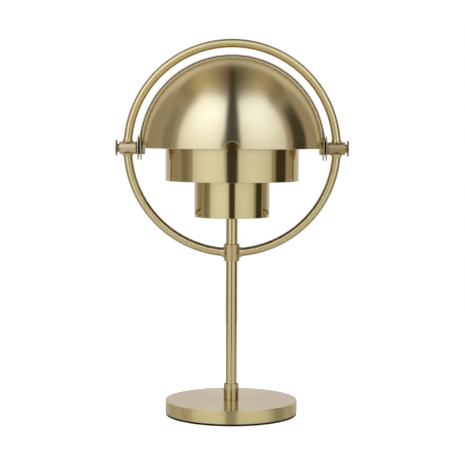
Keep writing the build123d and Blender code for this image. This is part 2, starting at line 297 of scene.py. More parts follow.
# Name, azimuth in degrees, and then distance, width, bottom and top in metres.
for flag in (("camera_flag", 0, 2.3, 0.95, -0.9, 3.2),
             ("camera_low", -1.5, 1.35, 0.60, 0.335, 0.56),
             ("camera_middle", -1.0, 1.35, 0.52, 0.56, 0.66),
             ("camera_high", -0.4, 1.35, 0.42, 0.66, 0.74),
             ("right_flag", 88.7, 1.0, 0.43, -0.1, 1.15)):
    panel(*flag, black_cloth)
panel("left_flag", -85, 1.1, 0.30, -0.1, 1.15, grey_cloth)
level_board("slit_cloth", 3.2, (-0.6, 0.6), (-2.4, 1.9), black_cloth)
panel("backdrop", 180, 1.0, backdrop_width, 0.0, backdrop_height, backdrop_paper)
level_board("table", 0.0, (-0.8, 0.8), (-0.55, 0.9), white_acrylic, seen=True)

# %% World
room_light = 0.30
room_in_metal = 0.40
room_tint = linear("fff4e0")
world = bpy.data.worlds.new("studio_room")
room = bare_tree(world)
room_camera, room_mirrored = light_paths(room)
dim, mirror, white = (
    add_node(room, "ShaderNodeBackground", {"Color": tint, "Strength": strength})
    for tint, strength in ((room_tint, room_light), (room_tint, room_in_metal),
                           (linear("ffffff"), 1.0)))
unseen = add_node(room, "ShaderNodeMixShader", links={0: room_mirrored, 1: dim, 2: mirror})
seen = add_node(room, "ShaderNodeMixShader", links={0: room_camera, 1: unseen, 2: white})
add_node(room, "ShaderNodeOutputWorld", links={"Surface": seen})
bpy.context.scene.world = world
bpy.context.scene.view_settings.view_transform = "Standard"
print("world:", world.name)

# %% [markdown]
# ## Brushed brass
#
# The maker brushes the spun and turned pieces while they turn, so the fine scratches run round the
# axis, and a reflection is drawn out across them: long up and down, sharp from side to side. The
# lacquer is a thin clear coat, sharp over polished metal and hazy over a satin brushing.
#
# The scratches could be grooves in the mesh, but they are far too fine. Anisotropy along the brush
# map does to the light what they do. Real lines lie about 0.1 mm apart and would not show, so
# noise draws them 0.8 to 1.7 mm apart, and 6 mm on the ring, where they are hardly seen.

# %% Brushed brass
streak_length = 0.05


def brush_streaks(tree, line_mm):
    """Noise in lines round the piece: fast along the brush map's V, slow along the piece."""
    place = add_node(tree, "ShaderNodeTexCoord")
    brush_map = add_node(tree, "ShaderNodeUVMap", uv_map="brush")
    brush = add_node(tree, "ShaderNodeSeparateXYZ", links={0: brush_map})
    body = add_node(tree, "ShaderNodeSeparateXYZ", links={0: place.outputs["Object"]})
    slow_x, slow_y, fast = (
        add_node(tree, "ShaderNodeMath", {1: 1 / length}, {0: source}, operation="MULTIPLY")
        for source, length in ((body.outputs["X"], streak_length),
                               (body.outputs["Y"], streak_length),
                               (brush.outputs["Y"], line_mm * MM)))
    point = add_node(tree, "ShaderNodeCombineXYZ", links={0: slow_x, 1: slow_y, 2: fast})
    return add_node(tree, "ShaderNodeTexNoise", {"Scale": 1.0, "Detail": 3.0, "Roughness": 0.6},
                    {"Vector": point})


def from_noise(tree, noise, tints, roughness, spread, bump_mm):
    """What one noise feeds to a shader: the tint, the roughness and the height together."""
    tint = add_node(tree, "ShaderNodeMix", {6: linear(tints[0]), 7: linear(tints[1])},
                    {"Factor": noise}, data_type="RGBA")
    rough = add_node(tree, "ShaderNodeMapRange",
                     {"To Min": roughness - spread, "To Max": roughness + spread},
                     {"Value": noise})
    bump = add_node(tree, "ShaderNodeBump", {"Strength": 1.0, "Distance": bump_mm * MM},
                    {"Height": noise})
    return {"Base Color": tint.outputs[2], "Roughness": rough, "Normal": bump}


def brushed_brass(name, roughness, anisotropy, line_mm, spread, bump_mm, tints, lacquer):
    """Brass brushed round its axis, under clear lacquer.

    Spread is how far the roughness varies from line to line. Tints are those of the dark lines,
    of the light lines, and at a grazing angle. Lacquer is its weight and its roughness.
    """
    def links(tree):
        tangent = add_node(tree, "ShaderNodeTangent", direction_type="UV_MAP", uv_map="brush")
        return {**from_noise(tree, brush_streaks(tree, line_mm), tints, roughness, spread,
                             bump_mm), "Tangent": tangent}
    values = {"Metallic": 1.0, "Anisotropic": anisotropy, "Anisotropic Rotation": 0.25,
              "Specular Tint": linear(tints[2]), "Coat Weight": lacquer[0],
              "Coat Roughness": lacquer[1]}
    return new_material(name, values, links)


# Satin: the softboxes run out into soft glows, and fine level lines cross them.
dome_brass = brushed_brass("brushed_lacquered_brass_dome", 0.22, 0.88, 1.7, 0.01, 0.0003,
                           ("d9c698", "e5d4a6", "c8bc9c"), (0.5, 0.28))
# Finer: hard upright edges between light and dark, and a wet shine from the lacquer.
drum_brass = brushed_brass("lacquered_brass_drum", 0.17, 0.80, 1.4, 0.01, 0.0002,
                           ("cfbb81", "dbc88e", "b8a888"), (1.0, 0.03))
# Polished in the lathe: thin bright lines down the length, and browner edges.
stem_brass = brushed_brass("lacquered_brass_turned", 0.15, 0.50, 0.8, 0.004, 0.0,
                           ("d6c08a", "dcc690", "8a7a50"), (0.4, 0.05))
# Strongly brushed: one even sheen, and over it the pale paper in the lacquer.
base_brass = brushed_brass("lacquered_brass_base", 0.26, 0.95, 1.6, 0.01, 0.0003,
                           ("d7bf7d", "e7d393", "b8a888"), (1.0, 0.03))
# Brushed round the bar: one long line of light along it.
# Its grazing tint is nearly black: painted shade that draws the bar's dark edges.
ring_brass = brushed_brass("lacquered_brass_ring", 0.32, 0.92, 6.0, 0.004, 0.0,
                           ("e2cb92", "e9d49b", "2e240e"), (0.15, 0.10))
# Darker brass: screw heads that read as dark discs with a thin bright rim.
screw_brass = brushed_brass("lacquered_brass_screw", 0.24, 0.50, 0.8, 0.004, 0.0,
                            ("a08c58", "ac9862", "4a3c1c"), (0.3, 0.08))
print("brushed, from dome to screws:", dome_brass.name, "to", screw_brass.name)

# %% [markdown]
# ## Blasted brass and the other finishes
#
# Blasting leaves an even grain of small dents, so these pieces mirror nothing, and light rolls
# softly round them. The rest are finishes of small and hidden pieces: plated, cast, moulded,
# painted. One noise through the solid feeds tint, roughness and height together, as one dent or
# pore does; a painted map would need a layout for each piece. Most real grain is too fine to show,
# so it is drawn 0.7 to 2 mm wide. Only the glass has wide clouds.

# %% Grained finishes
grain_spread = 0.06


def grained(name, dark, light, grain_mm, roughness, metallic, bump_mm, coat=0.0):
    """A finish with an even grain: blasted, cast, moulded or painted."""
    def links(tree):
        place = add_node(tree, "ShaderNodeTexCoord")
        grain = add_node(tree, "ShaderNodeTexNoise",
                         {"Scale": 1 / (grain_mm * MM), "Detail": 4.0, "Roughness": 0.65},
                         {"Vector": place.outputs["Object"]})
        return from_noise(tree, grain, (dark, light), roughness, grain_spread, bump_mm)
    values = {"Metallic": metallic, "Coat Weight": coat, "Coat Roughness": 0.15}
    return new_material(name, values, links)


def blasted(name, dark, light):
    """Bead-blasted brass under lacquer: no mirror, only a soft roll of light."""
    return grained(name, dark, light, 1.2, 0.44, 1.0, 0.004, coat=0.1)


# Sheared sheet: a pale matt line round each edge.
cut_edge = grained("cut_brass_edge", "e6d6a8", "eee0b6", 0.8, 0.50, 1.0, 0.002)
# Blasted brass for the boss and the clamp nuts.
blasted_brass = blasted("blasted_lacquered_brass", "cbb178", "dcc795")
# Barrels of that same finish: the left painted paler, the right darker, as painted light and
# shade.
barrel_brass_painted_light_shade = {"left": blasted("blasted_brass_painted_light", "e4ca92", "f0daac"),
                "right": blasted("blasted_brass_painted_shade", "b59e69", "c6b07c")}
# Dull nickel: a thin pale ring beside a black washer.
nickel_steel = grained("nickel_plated_steel", "dcd4c2", "e8e2d4", 2.0, 0.46, 1.0, 0.001)
# Pressed fibre and rubber: deep black with no shine, so that they read as gaps.
black_fibre = grained("black_vulcanised_fibre", "0b0a09", "161412", 0.8, 0.62, 0.0, 0.01)
black_rubber = grained("black_rubber_pad", "060606", "0e0d0c", 0.9, 0.84, 0.0, 0.02)
# Sand casting under paint: coarse and dark.
cast_iron = grained("painted_cast_iron", "232220", "33312d", 1.6, 0.55, 0.0, 0.08)
# Zinc plate: cool grey, half bright.
zinc_steel = grained("zinc_plated_steel", "a8a9a6", "c4c4bf", 1.5, 0.38, 1.0, 0.002)
# Powder coat: white with a faint orange-peel.
white_steel = grained("white_powder_coated_steel", "dedbd3", "e9e7e1", 0.7, 0.42, 0.0, 0.012)
# Moulded phenolic: black with a soft shine off the mould.
black_moulding = grained("black_phenolic_moulding", "0d0c0b", "171513", 0.9, 0.30, 0.0, 0.004)
# Rolled shells, unlacquered: smooth and bright.
holder_brass = grained("plain_brass_shell", "c2a45e", "d6b973", 1.4, 0.30, 1.0, 0.002)
cap_nickel = grained("nickel_plated_brass_cap", "c4c0b8", "d8d5ce", 1.4, 0.28, 1.0, 0.001)
# Opal glass: milky white under a smooth skin.
opal_glass = grained("opal_glass", "f0e9da", "f5efe2", 8.0, 0.22, 0.0, 0.001, coat=0.5)
print("materials:", len(bpy.data.materials))

# %% [markdown]
# ## A lathe in code
#
# Most pieces are turned, so the main tool is a lathe: an outline of corners, each with its own
# small rounding, is swept round an axis. Each point knows its true normal, so flat faces stay flat
# and rounded edges catch a thin line of light. A cylinder with a bevel comes close, but it rounds
# all its corners alike, and it has no brush map.

# %% Rounded outlines
corner_steps = 4
tiny = 1e-6


def arc_points(corner, before, after, rounding):
    """Points with normals on the rounding of one corner of an outline."""
    inward = (corner - before).normalized()
    outward = (after - corner).normalized()
    turn = inward.angle_signed(outward)
    first_normal = Vector((inward.y, -inward.x))
    last_normal = Vector((outward.y, -outward.x))
    if abs(turn) < tiny:
        return [(corner, first_normal)]
    setback = rounding * tan(abs(turn) / 2)
    side = 1 if first_normal.dot(outward) < 0 else -1
    centre = corner - inward * setback - first_normal * rounding * side
    points = []
    for i in range(corner_steps + 1):
        share = i / corner_steps
        normal = (first_normal * sin((1 - share) * abs(turn))
                  + last_normal * sin(share * abs(turn))).normalized()
        points.append((centre + normal * rounding * side, normal))
    return points


def outline(corners, closed):
    """Points with normals, from corners of (radius, height, rounding) in millimetres."""
    points = []
    count = len(corners)
    for i, (radius, height, rounding) in enumerate(corners):
        here = Vector((radius, height))
        before = Vector(corners[i - 1][:2])
        after = Vector(corners[(i + 1) % count][:2])
        if not closed and i in (0, count - 1):
            along = (after - here) if i == 0 else (here - before)
            along.normalize()
            points.append((here, Vector((along.y, -along.x))))
        else:
            points.extend(arc_points(here, before, after, rounding))
    return points


def tube(inner, outer, low, high, edges):
    """Corners of a tube or washer. Edges are their roundings, from inside low to inside high."""
    spots = ((inner, low), (outer, low), (outer, high), (inner, high))
    return [(*spot, edge) for spot, edge in zip(spots, edges)]


print("points on a small tube:", len(outline(tube(1, 2, 0, 1, (0.1, 0.1, 0.1, 0.1)), True)))

# %% Lathe
def mesh_object(name, vertices, normals, faces, uvs, material):
    """A smooth object with its own normals and a brush map: one pair of uvs per face corner."""
    mesh = bpy.data.meshes.new(name)
    mesh.from_pydata(vertices, [], faces)
    layer = mesh.uv_layers.new(name="brush")
    for item, uv in zip(layer.data, uvs):
        item.uv = uv
    mesh.polygons.foreach_set("use_smooth", [True] * len(faces))
    mesh.normals_split_custom_set_from_vertices(normals)
    mesh.materials.append(material)
    made = bpy.data.objects.new(name, mesh)
    bpy.context.scene.collection.objects.link(made)
    return made


def lathe(name, corners, material, closed=True, place=None, segments=96):
    """Sweeps an outline round the local Z axis and puts it in place. Sizes are in millimetres."""
    place = place or Matrix.Identity(4)
    points = outline(corners, closed)
    widest = max(point.x for point, normal in points)
    turning = place.to_3x3()
    vertices, normals, rings, lengths, length = [], [], [], [], 0.0
    for i, (point, normal) in enumerate(points):
        if i:
            length += (point - points[i - 1][0]).length
        lengths.append(length)
        ring = []
        for k in range(1 if point.x < tiny else segments):
            angle = 2 * pi * k / segments + pi / 2
            spot = Vector((point.x * cos(angle), point.x * sin(angle), point.y)) * MM
            out = Vector((normal.x * cos(angle), normal.x * sin(angle), normal.y))
            ring.append(len(vertices))
            vertices.append(place @ spot)
            normals.append((turning @ out).normalized())
        rings.append(ring)
    if closed:
        lengths.append(length + (points[0][0] - points[-1][0]).length)
    faces, uvs = [], []
    for i in range(len(rings) if closed else len(rings) - 1):
        low, high = rings[i], rings[(i + 1) % len(rings)]
        v0, v1 = lengths[i] * MM, lengths[i + 1] * MM
        for k in range(segments):
            u0, u1 = (2 * pi * widest * MM * (k + step) / segments for step in (0, 1))
            a, b = low[k % len(low)], low[(k + 1) % len(low)]
            c, d = high[(k + 1) % len(high)], high[k % len(high)]
            corner = {(a, 0): (u0, v0), (b, 1): (u1, v0), (c, 2): (u1, v1), (d, 3): (u0, v1)}
            face = [key for key in corner if not (len(low) == 1 and key[1] == 1)
                    and not (len(high) == 1 and key[1] == 2)]
            faces.append([key[0] for key in face])
            uvs.extend(corner[key] for key in face)
    return mesh_object(name, vertices, normals, faces, uvs, material)


def dress(piece, body, slot, *nodes):
    """The piece rides on a body and stands for CAD nodes, which it hides. Slot is not used."""
    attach(piece, body)
    if nodes:
        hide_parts(*nodes)
    return piece


def joined(name, pieces):
    """Several made pieces as one object."""
    bpy.ops.object.select_all(action="DESELECT")
    for piece in pieces:
        piece.select_set(True)
    bpy.context.view_layer.objects.active = pieces[0]
    bpy.ops.object.join()
    pieces[0].name = name
    return pieces[0]


def span(node):
    """Lowest and highest corner of a CAD node, in millimetres."""
    low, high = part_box(node)
    return low / MM, high / MM


print("top of the ring:", round(span("upper_ring_arc")[1].z, 1), "mm")

# %% [markdown]
# ## The base
#
# A spun brass cover over a cast weight, on a rubber pad. The spinning tool rounds its edge, and
# that rounding draws the bright line round the top. A solid disc would look much the same from
# above; the lathe turns the thin sheet that it is, open below, because the weight sits inside.

# %% Base
sheet_mm = 1.2
fit_mm = 0.05
cover_low, cover_high = span("base_cover")
cover_radius, cover_top = cover_high.x, cover_high.z
stem_low, stem_high = span("stem_tube")
stem_bore = stem_high.x + fit_mm
pad_high = span("foot_pad")[1]

foot_pad = lathe("foot_pad_rubber",
                 [(0, 0, 0), (pad_high.x, 0, 0.5), (pad_high.x, pad_high.z, 0.3),
                  (0, pad_high.z, 0)], black_rubber, closed=False, segments=192)
dress(foot_pad, "stand", "black_rubber", "foot_pad")

base_cover = lathe("base_cover_brass",
                   [(cover_radius - sheet_mm, cover_low.z, 0.2), (cover_radius, cover_low.z, 0.3),
                    (cover_radius, cover_top, 0.7), (stem_bore, cover_top, 0.1),
                    (stem_bore, cover_top - sheet_mm, 0.1),
                    (cover_radius - sheet_mm, cover_top - sheet_mm, 0.3)],
                   base_brass, segments=256)
dress(base_cover, "stand", "lacquered_brass", "base_cover")
print("base radius:", round(cover_radius, 2), "mm")

# %% [markdown]
# ## Stem, collar and boss
#
# Brass tube and two turned sleeves on it. The boss and the barrels are blasted before they are
# lacquered, which also hides the marks of the brazing. One turned outline could be all three. They
# come off the lathe one by one, with the sleeves bored for the stem, so each keeps its own finish.

# %% Stem
stem_wall = 1.5
collar_low, collar_high = span("base_collar")
boss_low, boss_high = span("ring_boss")
stem_tube = lathe("stem_tube_brass",
                  tube(stem_high.x - stem_wall, stem_high.x, stem_low.z, stem_high.z,
                       (0.2, 0.2, 0.2, 0.2)), stem_brass)
dress(stem_tube, "stand", "lacquered_brass", "stem_tube")


def turned_sleeve(name, low, high, edge, material, slot, node):
    """A turned sleeve on the stem with broken edges."""
    sleeve = lathe(name, tube(stem_bore, high.x, low.z, high.z, (0.1, edge, edge, 0.1)), material)
    return dress(sleeve, "stand", slot, node)


turned_sleeve("base_collar_brass", collar_low, collar_high, 0.7, stem_brass, "lacquered_brass",
              "base_collar")
turned_sleeve("ring_boss_brass", boss_low, boss_high, 0.8, blasted_brass, "blasted_brass",
              "ring_boss")
print("stem:", round(stem_high.x * 2, 1), "mm across")

# %% [markdown]
# ## The ring
#
# Three bends of brass tube, brazed to the barrels and the boss, which close its ends, so it can be
# drawn as a bar. The braze leaves a small smooth flare. A curve with a round bevel would make a
# bend, but each flare would be a piece of its own with a seam. Here one sweep widens its section
# as it nears the seat, so bend and flare are one.

# %% Sweep
def swept(name, sections, brush_at, material, flip=False, end_normals=(None, None)):
    """A body with closed ends, through sections of (place, normal) points in millimetres.

    brush_at(i, k) is the brush map at point k of section i. Flip is for points that run the other
    way round. An end is shaded like its section, or flat where it has a normal of its own.
    """
    points = [point for section in sections for point in section]
    around, last, step = len(sections[0]), len(sections) - 1, -1 if flip else 1
    faces, uvs = [], []
    for i in range(last):
        for k in range(around):
            corners = ((i, k), (i, k + 1), (i + 1, k + 1), (i + 1, k))[::step]
            faces.append([around * row + column % around for row, column in corners])
            uvs.extend(brush_at(*corner) for corner in corners)
    for i, turn, end_normal in ((0, -step, end_normals[0]), (last, step, end_normals[1])):
        first = len(points) if end_normal else around * i
        if end_normal:
            points += [(place, end_normal) for place, normal in sections[i]]
        columns = range(around)[::turn]
        faces.append([first + k for k in columns])
        uvs.extend((0.0, 0.0) for k in columns)
    vertices = [place * MM for place, normal in points]
    return mesh_object(name, vertices, [normal for place, normal in points], faces, uvs, material)


pivot_height = sum(span("outer_drum")[i].z for i in (0, 1)) / 2
pivot = Vector((0, 0, pivot_height))
print("pivots:", round(pivot_height, 1), "mm above the table")

# %% Ring
barrel_low, barrel_high = span("right_barrel")
ring_radius = (barrel_low.x + barrel_high.x) / 2
ring_bar = span("upper_ring_arc")[1].z - pivot_height - ring_radius
barrel_radius = barrel_high.y
boss_radius = boss_high.x
braze_width = 1.9
braze_reach = 4.2
braze_overlap = 1.5
section_degrees = 1.0
points_round_bar = 32


def ring_bend(name, start_angle, end_angle, start_seat, end_seat, node):
    """A bend of the ring. Angles go from +X over the top; seats are the radii that it meets."""
    start = radians(start_angle) + asin((start_seat - braze_overlap) / ring_radius)
    end = radians(end_angle) - asin((end_seat - braze_overlap) / ring_radius)
    steps = int((end - start) / radians(section_degrees))

    def section(angle):
        """The bar's section at one angle, wider in the flare of the braze."""
        from_seat = min(ring_radius * (angle - radians(start_angle)) - start_seat,
                        ring_radius * (radians(end_angle) - angle) - end_seat)
        near = max(0.0, 1 - max(0.0, from_seat) / braze_reach)
        radius = ring_bar + braze_width * near ** 2
        slope = -2 * braze_width * near / braze_reach
        forward = 1 if angle < (start + end) / 2 else -1
        along = Vector((-sin(angle), 0, cos(angle))) * forward
        out = Vector((cos(angle), 0, sin(angle)))
        points = []
        for k in range(points_round_bar):
            turn = 2 * pi * k / points_round_bar
            normal = out * cos(turn) + Vector((0, 1, 0)) * sin(turn)
            points.append((pivot + out * ring_radius + normal * radius,
                           (normal - along * slope).normalized()))
        return points

    def brush_at(i, k):
        """U round the bar, V along the bend."""
        return (ring_bar * MM * 2 * pi * k / points_round_bar,
                ring_radius * MM * (end - start) * i / steps)

    bend = swept(name, [section(start + (end - start) * i / steps) for i in range(steps + 1)],
                 brush_at, ring_brass)
    return dress(bend, "stand", "lacquered_brass", node)


ring_bend("upper_ring_brass", 0, 180, barrel_radius, barrel_radius, "upper_ring_arc")
ring_bend("lower_left_ring_brass", 180, 270, barrel_radius, boss_radius, "lower_left_ring_arc")
ring_bend("lower_right_ring_brass", -90, 0, boss_radius, barrel_radius, "lower_right_ring_arc")
print("ring:", round(ring_radius, 1), "mm radius of", round(2 * ring_bar, 1), "mm bar")

# %% [markdown]
# ## Barrels and pivots
#
# Each pivot is a stack on a screw: a turned head, the barrel that is brazed into the ring, a
# bright washer, a black one, the two lugs with another black washer between them, and a clamp nut
# inside. A stack could be one outline. Separate pieces off the same lathe, laid on its side, keep
# the fine dark joints, and each can ride on the body that it moves with.

# %% Pivots
def pivot_place(side):
    """Matrix that puts a piece turned about Z on the pivot axis, right (1) or left (-1)."""
    return Matrix.Translation(pivot * MM) @ Matrix.Rotation(radians(90 * side), 4, "Y")


def pivot_piece(name, side, corners, material, slot, node, closed=True):
    """A piece of a pivot's stack. Heights are measured from the lamp's upright axis."""
    piece = lathe(name, corners, material, closed, pivot_place(side), 64)
    return dress(piece, "stand", slot, node)


def washer_pair(name, node, start, end, material, slot, body):
    """Two washers, right and left, as one object."""
    corners = tube(screw_hole, span(node)[1].y, start, end, (0.1, 0.2, 0.2, 0.1))
    made = [lathe(f"{name}_{side}", corners, material, True, pivot_place(side), 64)
            for side in (1, -1)]
    return dress(joined(name, made), body, slot, node)


screw_low, screw_high = span("right_pivot_screw")
nut_low, nut_high = span("right_clamp_nut")
screw_radius = 3.0
screw_hole = screw_radius + fit_mm
neck_radius = 5.45
neck_length = 3.0
head_radius = screw_high.z - pivot_height
nut_web = 1.2
end_washer_mm = 0.6
friction_washer_mm = 1.5
barrel_start, barrel_end = barrel_low.x, barrel_high.x
neck_end = barrel_end + neck_length
end_washer_start = barrel_start - end_washer_mm
outer_washer_start = end_washer_start - friction_washer_mm
for side, word in ((1, "right"), (-1, "left")):
    pivot_piece(f"{word}_barrel_brass_painted_light_shade", side,
                tube(screw_hole, barrel_radius, barrel_start, barrel_end, (0.1, 0.7, 0.7, 0.1)),
                barrel_brass_painted_light_shade[word], "blasted_brass", f"{word}_barrel")
    pivot_piece(f"{word}_pivot_screw_brass", side,
                [(0, screw_low.x, 0), (screw_radius, screw_low.x, 0.3),
                 (screw_radius, barrel_end, 0.05), (neck_radius, barrel_end, 0.2),
                 (neck_radius, neck_end, 0.3), (head_radius, neck_end, 0.4),
                 (head_radius, screw_high.x, 0.5), (0, screw_high.x, 0)],
                screw_brass, "lacquered_brass", f"{word}_pivot_screw", closed=False)
    pivot_piece(f"{word}_clamp_nut_brass", side,
                [(0, nut_low.x, 0), (nut_high.y, nut_low.x, 0.5), (nut_high.y, nut_high.x, 0.3),
                 (screw_hole, nut_high.x, 0.2), (screw_hole, nut_low.x + nut_web, 0.1),
                 (0, nut_low.x + nut_web, 0)],
                blasted_brass, "lacquered_brass", f"{word}_clamp_nut", closed=False)

washer_pair("end_washers_nickel", "end_washers", end_washer_start, barrel_start, nickel_steel,
            "nickel_steel", "stand")
washer_pair("outer_friction_washers_fibre", "outer_friction_washers", outer_washer_start,
            end_washer_start, black_fibre, "black_fibre", "stand")
print("barrels:", round(barrel_end - barrel_start, 1), "mm long")

# %% [markdown]
# ## The shades
#
# Each shade is a quarter of a spun sphere with a flat lug at each pole. A sphere could be cut with
# booleans, but its faces bunch up at the poles, and the cut leaves ragged shading. So each is made
# like sheet work: the outline, with its notch for the stem and the reliefs beside the lugs, is
# filled with triangles in a flat pattern, and that is pressed onto the sphere. The edge is rolled
# round with true normals and shows the cut metal. The lug is a thin disc on a short wall pressed
# out of the sheet, and its rim stands free of it.

# %% Shade outline
lug_radius = 16.6
lug_seat_radius = 10.5
outer_lug_proud = 1.2
inner_lug_proud = 0.6
notch_radius = 10.1
relief_height = 9.1
relief_depth = 4.8


def shade_outline(radius):
    """The sheet's outline on a sphere about the origin, for a shade at the back."""
    seat, relief_x = lug_seat_radius, radius - relief_depth
    lug_x, notch_y = (sqrt(radius ** 2 - r ** 2) for r in (seat, notch_radius))
    lug_angle = asin(relief_height / seat)
    relief_y = sqrt(radius ** 2 - relief_height ** 2 - relief_x ** 2)
    # Each stretch: its first and last value, its count of points, and the place at a value.
    stretches = (
        (0, acos(seat / radius), 56, lambda a: (radius * sin(a), 0, radius * cos(a))),
        (pi / 2, lug_angle, 10, lambda a: (lug_x, seat * cos(a), seat * sin(a))),
        (seat * cos(lug_angle), relief_y, 6,
         lambda y: (sqrt(radius ** 2 - y ** 2 - relief_height ** 2), y, relief_height)),
        (relief_height, 0, 4,
         lambda z: (relief_x, sqrt(radius ** 2 - relief_x ** 2 - z ** 2), z)),
        (acos(relief_x / radius), acos(notch_radius / radius), 46,
         lambda a: (radius * cos(a), radius * sin(a), 0)),
        (0, pi / 2, 10, lambda a: (notch_radius * cos(a), notch_y, notch_radius * sin(a))))
    half = [Vector(place(first + (last - first) * i / count))
            for first, last, count, place in stretches for i in range(count)]
    middle = Vector((0, notch_y, notch_radius))
    left = [Vector((-p.x, p.y, p.z)) for p in half[:0:-1]]
    return [p.normalized() for p in half + [middle] + left]


back_radius = span("back_shade")[1].z - pivot_height
front_radius = span("front_shade")[1].z - pivot_height
print("points on a shade's outline:", len(shade_outline(back_radius)))

# %% Flat pattern
pattern_out = Vector((0, 1, 1)).normalized()
pattern_up = Vector((0, -1, 1)).normalized()


def flat_pattern(direction):
    """Where a direction of the back quarter lies on the flat pattern."""
    away = acos(max(-1.0, min(1.0, direction.dot(pattern_out))))
    scale = away / sin(away) if away > tiny else 1.0
    return Vector((direction.x * scale, direction.dot(pattern_up) * scale))


def pressed(flat):
    """The direction that a point of the flat pattern is pressed to."""
    away = flat.length
    if away < tiny:
        return pattern_out.copy()
    side = (Vector((1, 0, 0)) * flat.x + pattern_up * flat.y) / away
    return pattern_out * cos(away) + side * sin(away)


def sheet_outward(loop, i):
    """Direction in the sheet that points away from it, at one point of its outline."""
    here = loop[i]
    before = (here - loop[i - 1]).normalized()
    after = (loop[(i + 1) % len(loop)] - here).normalized()
    return (before + after).normalized().cross(here).normalized()


print("lug on the pattern:", [round(v, 3) for v in flat_pattern(Vector((1, 0, 0)))])

# %% Shade sheet
edge_round = 0.45
edge_steps = 6
mesh_step = 3.6
row_height = 0.866
rim_clearance = 0.6
pattern_reach = 1.75
inside_only = 1
weld_distance = 1e-7
sheet_swell = 0.45
swell_start = 0.009
swell_reach = 0.02


def pattern_triangles(flat, spacing):
    """Places on the flat pattern, its triangles, and the place of each point of the outline."""
    rows = int(pi / spacing)
    grid = []
    for i in range(-rows, rows + 1):
        for j in range(-rows, rows + 1):
            spot = Vector(((i + 0.5 * (j % 2)) * spacing, j * spacing * row_height))
            if (spot.length < pattern_reach
                    and min((spot - p).length for p in flat) > rim_clearance * spacing):
                grid.append(spot)
    loop = list(range(len(flat)))
    spots, _, triangles, origins, _, _ = delaunay_2d_cdt(flat + grid, [], [loop], inside_only,
                                                         weld_distance)
    place_of = {o: k for k, group in enumerate(origins) for o in group}
    return spots, triangles, [place_of[k] for k in loop]


def shade_sheet(radius, swell, mirrored):
    """Vertices, normals, faces and the count of rim faces of a shade's sheet, about the origin.

    The solids leave 2 mm between the shades so that they swing clear. Swell draws the sheet a
    little nearer its neighbour, on its outside and its inside, and fades out towards the lugs.
    """
    def skins(direction):
        """Radius of the outside and of the inside along one direction."""
        share = max(0.0, min(1.0, (1 - abs(direction.x) - swell_start) / swell_reach))
        return radius + swell[0] * share, radius - sheet_mm - swell[1] * share

    edge = shade_outline(radius)
    inset = [(p - sheet_outward(edge, i) * edge_round / radius).normalized()
             for i, p in enumerate(edge)]
    spots, triangles, rim = pattern_triangles([flat_pattern(p) for p in inset],
                                              mesh_step / radius)
    directions = [pressed(s) for s in spots]
    used = sorted({v for t in triangles for v in t})
    index = {v: k for k, v in enumerate(used)}
    outer_count = len(used)
    vertices = [directions[v] * skins(directions[v])[side] for side in (0, 1) for v in used]
    normals = [directions[v].copy() for v in used] + [-directions[v] for v in used]
    faces = []
    for t in triangles:
        a, b, c = (index[v] for v in t)
        turned = (vertices[b] - vertices[a]).cross(vertices[c] - vertices[a])
        if turned.dot(vertices[a]) <= 0:
            b, c = c, b
        faces.append((a, b, c))
        faces.append((a + outer_count, c + outer_count, b + outer_count))
    rounds = [[index[v] for v in rim]]
    for s in range(1, edge_steps):
        turn = pi * s / edge_steps
        ring = []
        for i, v in enumerate(rim):
            out, across = sheet_outward(edge, i), directions[v]
            outer, inner = skins(across)
            half_sheet = (outer - inner) / 2
            ring.append(len(vertices))
            vertices.append(across * (inner + half_sheet + half_sheet * cos(turn))
                            + out * edge_round * sin(turn))
            normals.append((across * cos(turn) / half_sheet
                            + out * sin(turn) / edge_round).normalized())
        rounds.append(ring)
    rounds.append([index[v] + outer_count for v in rim])
    rim_count = len(rim)
    for near, far in zip(rounds, rounds[1:]):
        for i in range(rim_count):
            j = (i + 1) % rim_count
            faces.append((near[i], far[i], far[j], near[j]))
    if mirrored:
        vertices, normals = ([Vector((p.x, -p.y, p.z)) for p in points]
                             for points in (vertices, normals))
        faces = [tuple(reversed(f)) for f in faces]
    return vertices, normals, faces, rim_count * edge_steps


def brush_round_upright(vertices, faces, radius):
    """Brush map of a spun shade: U round the upright axis, V down from the pole."""
    sign = 1 if sum(p.y for p in vertices) > 0 else -1
    return [(radius * MM * atan2(p.x, p.y * sign), radius * MM * atan2(hypot(p.x, p.y), p.z))
            for face in faces for p in (vertices[k] for k in face)]


print("sheet:", sheet_mm, "mm, with triangles of", mesh_step, "mm")

# %% Lugs
wall_steps = 16
wall_into_sheet = 0.8
wall_into_lug = 0.3


def lug_wall(name, side, foot, top, mirrored):
    """The short wall between a shade's sheet and its lug, above the relief."""
    first, last = asin(relief_height / lug_seat_radius), pi / 2
    outer, inner = lug_seat_radius, lug_seat_radius - sheet_mm
    sections = []
    for i in range(wall_steps + 1):
        angle = first + (last - first) * i / wall_steps
        out = Vector((0, cos(angle) * (-1 if mirrored else 1), sin(angle)))
        sections.append([(pivot + out * radius + Vector((x * side, 0, 0)), out * facing)
                         for radius, x, facing in ((outer, foot, 1), (outer, top, 1),
                                                   (inner, top, -1), (inner, foot, -1))])
    return swept(name, sections,
                 lambda i, k: (outer * MM * (last - first) * i / wall_steps, k * MM),
                 dome_brass, flip=(side > 0) == mirrored)


def lug_disc(name, side, back, face):
    """The flat lug round the pivot screw. Its rim shows the cut metal, its two faces the brass."""
    disc = lathe(name, tube(screw_hole, lug_radius, back, face, (0.1, 0.3, 0.4, 0.2)),
                 dome_brass, place=pivot_place(side))
    disc.data.materials.append(cut_edge)
    for polygon in disc.data.polygons:
        if abs(polygon.normal.x) < 0.5:
            polygon.material_index = 1
    return disc


print("lugs:", round(2 * lug_radius, 1), "mm across")

# %% Both shades
washer_play = 0.1


